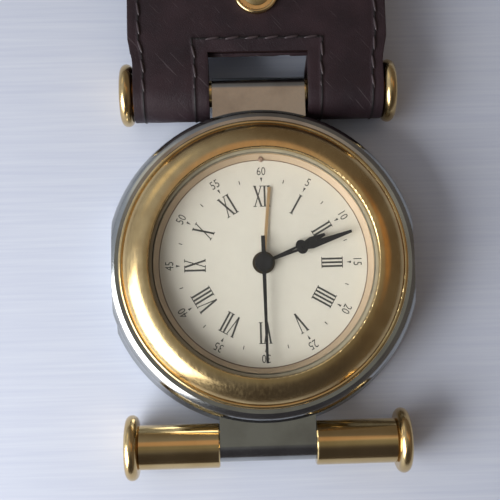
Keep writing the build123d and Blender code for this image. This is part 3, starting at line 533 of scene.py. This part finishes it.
# %% Minute figures and marks
figure_height, figure_narrowing = 1.75, 0.8
figure_radius = 20.05
mark_radius = 18.3
tick_radius, tick_length, tick_width = 18.2, 0.8, 0.18
wedge_length, wedge_width = 1.0, 0.5
font_curve = bpy.data.curves.new("figures", "FONT")
font_curve.extrude = ink_height / 2
font_curve.resolution_u = 3
font_object = bpy.data.objects.new("figures", font_curve)
figures = bmesh.new()
for hour in range(12):
    font_curve.body = str(5 * hour or 60)
    known = len(figures.verts)
    flat = bpy.data.meshes.new_from_object(font_object)
    figures.from_mesh(flat)
    figures.verts.ensure_lookup_table()
    made = figures.verts[known:]
    middle_x = (min(v.co.x for v in made) + max(v.co.x for v in made)) / 2
    top = max(v.co.y for v in made)
    size = figure_height / top
    place = (
        at_hour(hour)
        @ Matrix.Translation((0, figure_radius - figure_height / 2, dial_top + ink_height / 2))
        @ Matrix.Diagonal((figure_narrowing * size, size, 1, 1))
        @ Matrix.Translation((-middle_x, 0, 0))
    )
    bmesh.ops.transform(figures, matrix=place, verts=made)
    bpy.data.meshes.remove(flat)
bpy.data.objects.remove(font_object)
minute_figures = make_piece("minute_figures", figures, [dial_ink], False)
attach(minute_figures, "clock")

marks = bmesh.new()
for half_hour in range(24):
    if half_hour % 2:
        ends = [(0, tick_radius + side * tick_length / 2) for side in (-1, 1)]
        made = stroke(marks, *ends, tick_width)
    else:
        made = bmesh.ops.create_cone(
            marks, cap_ends=True, segments=3, radius1=1, radius2=1, depth=ink_height
        )["verts"]
        wedge_middle = (0, mark_radius, dial_top + ink_height / 2)
        wedge_size = (wedge_width / math.sqrt(3), -wedge_length / 1.5, 1, 1)
        shape = Matrix.Translation(wedge_middle) @ Matrix.Diagonal(wedge_size)
        bmesh.ops.transform(marks, matrix=shape, verts=made)
    bmesh.ops.transform(marks, matrix=at_hour(half_hour / 2), verts=made)
bmesh.ops.recalc_face_normals(marks, faces=marks.faces)
dial_marks = make_piece("dial_marks", marks, [dial_ink], False)
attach(dial_marks, "clock")

# %% [markdown]
# A thin brown ring of painted shadow runs round the dial where the gilt ring stands on it: a flat dark sheet
# that stands for the shade at the ring's foot.

# %% Painted shadow round the dial
line_outer, line_width, line_sides = 22.3, 0.2, 128
painted_shadow_ring = bmesh.new()
bmesh.ops.create_circle(painted_shadow_ring, cap_ends=True, segments=line_sides, radius=line_outer)
bmesh.ops.inset_region(
    painted_shadow_ring, faces=painted_shadow_ring.faces[:], thickness=line_width, use_boundary=True
)
inner_face = min(painted_shadow_ring.faces, key=lambda face: face.calc_center_median().length)
bmesh.ops.delete(painted_shadow_ring, geom=[inner_face], context="FACES_ONLY")
upper = bmesh.ops.extrude_face_region(painted_shadow_ring, geom=painted_shadow_ring.faces[:])["geom"]
raised = [item for item in upper if isinstance(item, bmesh.types.BMVert)]
bmesh.ops.translate(painted_shadow_ring, vec=(0, 0, ink_height), verts=raised)
bmesh.ops.translate(painted_shadow_ring, vec=(0, 0, dial_top), verts=painted_shadow_ring.verts)
bmesh.ops.recalc_face_normals(painted_shadow_ring, faces=painted_shadow_ring.faces)
# painted shadow: this brown flat ring stands for the shade where the gilt ring meets the dial
painted_shadow_brown = moulded("painted_shadow_brown", (0.2, 0.13, 0.085))
dial_painted_shadow = make_piece("dial_painted_shadow", painted_shadow_ring, [painted_shadow_brown], False)
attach(dial_painted_shadow, "clock")

# %% [markdown]
# ## Leather
# The cover is one strip of leather, folded round the upper bar and sewn to itself. So the
# mesh is one strip as well. It starts as a row of vertices at the free end, on the
# underside, and is extruded row by row along the path that the leather takes: up to the
# bar, round it, and back over itself to the free end. The Solidify modifier gives it its
# thickness, so that the two layers and their cut edges show.

# %% Sizes of the strip
def extent(node):
    """The lowest and highest corners of a CAD piece, in millimetres."""
    return [Vector(corner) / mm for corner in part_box(node)]


loops_low, loops_high = extent("cover_loops")
panel_low, panel_high = extent("cover_panel")
rod_low, rod_high = extent("top_rod")
bar = (rod_low + rod_high) / 2
layer, layer_gap = 1.3, 0.02
loop_radius = bar.z - loops_low.z - layer / 2
half_width, flared_half_width = loops_high.x, panel_high.x
flare_start, flare_end = bar.y + 5.0, bar.y + 11.5
cutout_half, cutout_reach = 10.8, 7.7
edge_seam, cutout_seam, groove = 2.3, 3.0, 0.22
seam_columns = (half_width - edge_seam, cutout_half + cutout_seam)
print("loop radius", round(loop_radius, 2), "half width", round(half_width, 2))


# %% Strip helpers
def strip_columns():
    """Distances of the strip's vertices from its middle, with three at each seam."""
    right = [1.8 * step for step in range(1, 6)] + [cutout_half]
    right += [cutout_half + 0.8, 16.0, 18.0, 20.0, 22.0, 26.2, half_width - 0.4, half_width]
    for seam in seam_columns:
        right += [seam - 0.8, seam - groove, seam, seam + groove, seam + 0.8]
    return sorted([-x for x in right] + [0.0] + right)


class Strip:
    """A strip that grows row by row."""

    def __init__(self, y, z):
        self.bm = bmesh.new()
        self.bm.verts.layers.float_vector.new("spot")
        self.bm.verts.layers.float.new("seam")
        self.row = [self.bm.verts.new((x, y, z)) for x in strip_columns()]
        self.edges = [self.bm.edges.new(pair) for pair in zip(self.row, self.row[1:])]
        self.rows, self.along = [self.row], [0.0]

    def grow(self, matrix):
        """Extrudes the last row and moves the new one."""
        made = bmesh.ops.extrude_edge_only(self.bm, edges=self.edges)["geom"]
        before = self.row[0].co.copy()
        new_row = [item for item in made if isinstance(item, bmesh.types.BMVert)]
        bmesh.ops.transform(self.bm, matrix=matrix, verts=new_row)
        self.edges = [item for item in made if isinstance(item, bmesh.types.BMEdge)]
        self.row = sorted(new_row, key=lambda vert: vert.co.x)
        self.rows.append(self.row)
        self.along.append(self.along[-1] + (self.row[0].co - before).length)

    def straight(self, distance, angle, steps):
        """Grows in a direction, in degrees up from the outward one."""
        move = Vector((0, math.cos(math.radians(angle)), math.sin(math.radians(angle))))
        for _ in range(steps):
            self.grow(Matrix.Translation(move * distance / steps))

    def bend(self, centre, angle, steps):
        """Grows round a point, by an angle about the X axis."""
        to_centre = Matrix.Translation(Vector((0, *centre)))
        turn = Matrix.Rotation(math.radians(angle / steps), 4, "X")
        for _ in range(steps):
            self.grow(to_centre @ turn @ to_centre.inverted())


# %% [markdown]
# The path has the sizes of the CAD cover: flat for 31 mm from the bar, then a gentle
# slope down to the table. The eye of the loop is closed on the underside by a short
# slanted run that meets the circle round the bar as a tangent.

# %% Grow the strip
flat_reach, droop_radius, end_run = 30.6, 25.0, 14.6
end_y, end_z, flat_z = panel_high.y, panel_low.z + layer, panel_high.z - layer
across = end_y - bar.y - flat_reach - end_run
rise = 2 * droop_radius - (flat_z - end_z)
slant = math.hypot(across, rise)
droop_angle = math.degrees(math.asin(2 * droop_radius / slant) - math.atan2(rise, across))
slope_run = math.sqrt(slant**2 - (2 * droop_radius) ** 2)
corner = 6.0
throat = Vector((7.3, 4.15))
throat_radius = 0.9
tangent = math.degrees(
    math.atan2(throat.y, throat.x) - math.acos(loop_radius / throat.length)
)
touch = Vector((math.cos(math.radians(tangent)), math.sin(math.radians(tangent))))
run = touch * loop_radius - throat
run_angle = math.degrees(math.atan2(run.y, run.x))
kink = 180 + run_angle
trim = throat_radius * math.tan(math.radians(kink / 2))

strip = Strip(end_y, end_z - layer / 2)
strip.straight(corner, 180, 10)
strip.straight(end_run - corner, 180, 6)
first_end = strip.row[0].co
valley = (first_end.y, end_z + droop_radius)
strip.bend(valley, -droop_angle, 9)
strip.straight(slope_run, 180 - droop_angle, 14)
crest = (bar.y + flat_reach, flat_z - droop_radius)
strip.bend(crest, droop_angle, 9)
strip.straight(flat_reach - cutout_reach - cutout_seam - groove, 180, 18)
for distance in (groove, groove, cutout_seam - groove):
    strip.straight(distance, 180, 1)
strip.straight(cutout_reach - throat.x - trim, 180, 1)
strip.bend((bar.y + throat.x + trim, bar.z + throat.y - throat_radius), kink, 5)
strip.straight(run.length - trim, run_angle, 5)
strip.bend((bar.y, bar.z), -(270 + tangent), 40)
strip.straight(cutout_reach, 0, 7)
for distance in (cutout_seam - groove, groove, groove):
    strip.straight(distance, 0, 1)
strip.straight(flat_reach - cutout_reach - cutout_seam - groove, 0, 18)
strip.bend(crest, -droop_angle, 9)
strip.straight(slope_run, -droop_angle, 14)
strip.bend(valley, droop_angle, 9)
strip.straight(end_run - corner, 0, 6)
strip.straight(corner, 0, 10)
print("strip of", len(strip.rows), "rows,", round(strip.along[-1], 1), "mm long, ends at",
      [round(part, 2) for part in strip.row[0].co])

# %% [markdown]
# The strip is then cut and worked: the free corners are rounded, the flap widens a little
# beyond the caps, the window for the lug is cut out, the leather sinks along its seams,
# and a faint unevenness takes away the look of a machine. The distance along the strip and
# across it becomes the UV map, so that grain and scratches follow the leather where it
# bends, and an attribute marks the seams, where painted shade darkens the sunk groove.

# %% Shape the strip
for row, distance in zip(strip.rows, strip.along):
    from_end = min(distance, strip.along[-1] - distance)
    if from_end < corner:
        narrow = half_width - corner + math.sqrt(corner**2 - (corner - from_end) ** 2)
        for vert in row:
            vert.co.x *= narrow / half_width
    flare = min(max((row[0].co.y - flare_start) / (flare_end - flare_start), 0), 1)
    flare = flare * flare * (3 - 2 * flare)
    for vert in row:
        vert.co.x *= 1 + flare * (flared_half_width / half_width - 1)

spot = strip.bm.verts.layers.float_vector["spot"]
for row, distance in zip(strip.rows, strip.along):
    for vert in row:
        vert[spot] = (vert.co.x, distance, 0)

window_y = bar.y + cutout_reach
cut = [
    face
    for face in strip.bm.faces
    if abs(face.calc_center_median().x) < cutout_half
    and face.calc_center_median().y < window_y
]
bmesh.ops.delete(strip.bm, geom=cut, context="FACES")
seam_y = window_y + cutout_seam
seam_depth, unevenness, near = 0.18, 0.05, 0.1
# the seam mask set here also drives painted shade in the leather's finish
seam_shade_layer = strip.bm.verts.layers.float["seam"]
columns = strip_columns()
strip.bm.normal_update()
sunk = 0
for row in strip.rows:
    for column, vert in zip(columns, row):
        if not vert.is_valid:
            continue
        x, y = abs(column), vert.co.y
        on_edge_seam = abs(x - seam_columns[0]) < near
        on_side_seam = abs(x - seam_columns[1]) < near and y < seam_y + near
        on_top_seam = abs(y - seam_y) < near and x < seam_columns[1] + near
        outward = vert.normal * (unevenness * noise.noise(vert[spot] * 0.25))
        if on_edge_seam or on_side_seam or on_top_seam:
            outward -= vert.normal * seam_depth
            vert[seam_shade_layer] = 1
            sunk += 1
        vert.co += outward
print(len(cut), "faces cut out,", sunk, "vertices sunk at the seams")

# %% [markdown]
# ## Stitches
# Each stitch is a short rounded bead of waxed thread that lies in the sunk seam. They are
# placed by walking along a column of the strip's vertices in steps of one stitch, so they
# follow the loops and the slope. A stitch lies slightly askew, as a saddle stitch does.

# %% Stitches
stitch_pitch = 4.3
stitch_length, stitch_width, stitch_rise = 3.4, 0.6, 0.5
stitches = bmesh.new()
upright = Vector((1, 0, 0))


def lay_stitch(start, end, outward, skew=9):
    """A bead of thread from one hole to the next, on the leather's outer face."""
    run = end - start
    made = bmesh.ops.create_uvsphere(stitches, u_segments=8, v_segments=6, radius=0.5)
    sideways = outward.cross(run).normalized()
    lie = Matrix((run.normalized(), sideways, outward)).transposed().to_4x4()
    size = Matrix.Diagonal((stitch_length, stitch_width, stitch_rise, 1))
    middle = (start + end) / 2 + outward * (layer / 2 - layer_gap)
    turn = Matrix.Rotation(math.radians(skew), 4, "Z")
    place = Matrix.Translation(middle) @ lie @ turn @ size
    bmesh.ops.transform(stitches, matrix=place, verts=made["verts"])


def sew(points, outwards):
    """Stitches along a line of points, each with its direction out of the leather."""
    travelled, next_hole, start = 0.0, 0.5 * stitch_pitch, None
    for (a, b), outward in zip(zip(points, points[1:]), outwards):
        length = (b - a).length
        while length and next_hole <= travelled + length:
            here = a.lerp(b, (next_hole - travelled) / length)
            if start is not None:
                lay_stitch(start, here, outward)
            start = here
            next_hole += stitch_pitch
        travelled += length


def seam_line(column, first, last):
    """Points and outward directions down one column of the strip."""
    verts = [row[column] for row in strip.rows[first:last] if row[column].is_valid]
    points = [vert.co.copy() for vert in verts]
    runs = [(b - a).normalized() for a, b in zip(points, points[1:])]
    return points, [upright.cross(run) for run in runs]


rows = len(strip.rows)
loop_rows = [
    number for number, row in enumerate(strip.rows) if row[0].co.y < seam_y + 2 * near
]
for side in (-1, 1):
    edge_column = columns.index(side * seam_columns[0])
    sew(*seam_line(edge_column, 4, rows - 4))
    side_column = columns.index(side * seam_columns[1])
    sew(*seam_line(side_column, loop_rows[0], loop_rows[-1] + 1))
for row_number in (loop_rows[0], loop_rows[-1]):
    row = strip.rows[row_number]
    points = [vert.co.copy() for vert in row if abs(vert.co.x) < seam_columns[1] + 3 * near]
    facing = Vector((0, 0, 1 if row_number == loop_rows[-1] else -1))
    sew(points, [facing] * len(points))
thread = moulded("thread", (0.06, 0.043, 0.047), 0.7, (0.25, 0.4), 0.01, 6)
stitching = make_piece("cover_stitching", stitches, [thread])

# %% [markdown]
# ## Finish of the leather
# The leather is calf in a very dark wine brown, waxed and worn. Its grain is a net of
# fine creases, drawn with a Voronoi pattern that is bent by noise. Larger clouds change
# the tone and a few pale hair scratches cross it. In the sunk seams painted shade makes it
# almost black. The cut edges are burnished: darker, smoother and without grain.

# %% Leather
hide = Finish("leather", "UV")
hide.set(Specular_IOR_Level=0.28)
cells = hide.tree.nodes.new("ShaderNodeTexVoronoi")
cells.feature = "DISTANCE_TO_EDGE"
cells.inputs["Scale"].default_value = 1.9
warp = hide.tree.nodes.new("ShaderNodeVectorMath")
warp.operation = "ADD"
hide.link(hide.millimetres(), warp.inputs[0])
hide.link(hide.cloud(0.9, 3), warp.inputs[1])
hide.link(warp.outputs[0], cells.inputs["Vector"])
crease = hide.remap(cells.outputs["Distance"], 0.0, 0.12, 0, 1)
pores = hide.cloud(5, 3)
tone = hide.remap(hide.cloud(0.12, 5), 0.35, 0.65, 0, 1)
base = hide.blend(tone, (0.03, 0.016, 0.02), (0.018, 0.01, 0.013))
hairs = hide.remap(hide.cloud(0.9, 2, (0.13, 3.0, 1), 48), 0.67, 0.71, 0, 0.28)
scuffed = hide.blend(hairs, base, (0.14, 0.115, 0.12))
# painted shade: the marked seam vertices turn the leather almost black, for the shade in the sunk groove
seam_shade_mask = hide.tree.nodes.new("ShaderNodeAttribute")
seam_shade_mask.attribute_name = "seam"
seam_shaded = hide.blend(seam_shade_mask.outputs["Fac"], scuffed, (0.004, 0.003, 0.003))
hide.link(seam_shaded, hide.shader.inputs["Base Color"])
gloss = hide.remap(hide.cloud(0.35, 4), 0.3, 0.7, 0.42, 0.6)
hide.link(gloss, hide.shader.inputs["Roughness"])
creased = hide.relief(crease, 0.02)
hide.link(hide.relief(pores, 0.02, creased), hide.shader.inputs["Normal"])
burnished = moulded("burnished_edge", (0.02, 0.009, 0.009), 0.6, (0.25, 0.45), 0.02, 2)
print("leather and its burnished edge")

# %% Cover
uv_layer = strip.bm.loops.layers.uv.new("UVMap")
for face in strip.bm.faces:
    for loop in face.loops:
        loop[uv_layer].uv = (loop.vert[spot].x * mm, loop.vert[spot].y * mm)
cover = make_piece("leather_cover", strip.bm, [hide.material, burnished])
thick = cover.modifiers.new("thickness", "SOLIDIFY")
thick.thickness = (layer - layer_gap) * mm
thick.offset = 0
thick.use_even_offset = False
thick.material_offset_rim = 1
rounding = cover.modifiers.new("rounded_edges", "BEVEL")
rounding.width = 0.3 * mm
rounding.segments = 2
rounding.limit_method = "ANGLE"
rounding.angle_limit = math.radians(50)
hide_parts("cover_loops", "cover_panel")

# %% [markdown]
# The cover swings on the bar and bends just beyond the loops. The mesh follows the loops
# up to 10 mm from the bar and the flap from 16 mm on, and curls smoothly between. The
# stitches follow the same rule.

# %% Let the cover bend
bend_from, bend_to = 9.9, 16.2
bend_start = Vector((0, bar.y + bend_from, flat_z)) * mm
bend_end = Vector((0, bar.y + bend_to, flat_z)) * mm
for piece in (cover, stitching):
    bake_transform(piece, "cover_root", "cover_flap", start=bend_start, end=bend_end)

# %% [markdown]
# ## Table
# The table is a plain pale sheet, wide enough to reach the horizon in a side view.

# %% Table
table_reach, table_top = 4000, -0.05
board = bmesh.new()
bmesh.ops.create_grid(board, x_segments=1, y_segments=1, size=table_reach)
bmesh.ops.translate(board, vec=(0, 0, table_top), verts=board.verts)
bmesh.ops.scale(board, vec=(mm, mm, mm), verts=board.verts)
table_mesh = bpy.data.meshes.new("table")
board.to_mesh(table_mesh)
board.free()
table = bpy.data.objects.new("table", table_mesh)
bpy.context.scene.collection.objects.link(table)
pale = Finish("pale_table")
pale.set(Roughness=0.6, Specular_IOR_Level=0.3)
streaks = pale.remap(pale.cloud(0.8, 5, (0.04, 1.6, 1)), 0.3, 0.7, 0, 1)
pale_colour = pale.blend(streaks, (0.56, 0.6, 0.71), (0.63, 0.67, 0.76))
pale.link(pale_colour, pale.shader.inputs["Base Color"])
table_mesh.materials.append(pale.material)
print("a table of", 2 * table_reach / 1000, "metres")

# %% [markdown]
# ## Finish
# The dressed clock must stay in the box of its CAD model. The last line brings the
# scene up to date.

# %% Finish
bpy.context.view_layer.update()
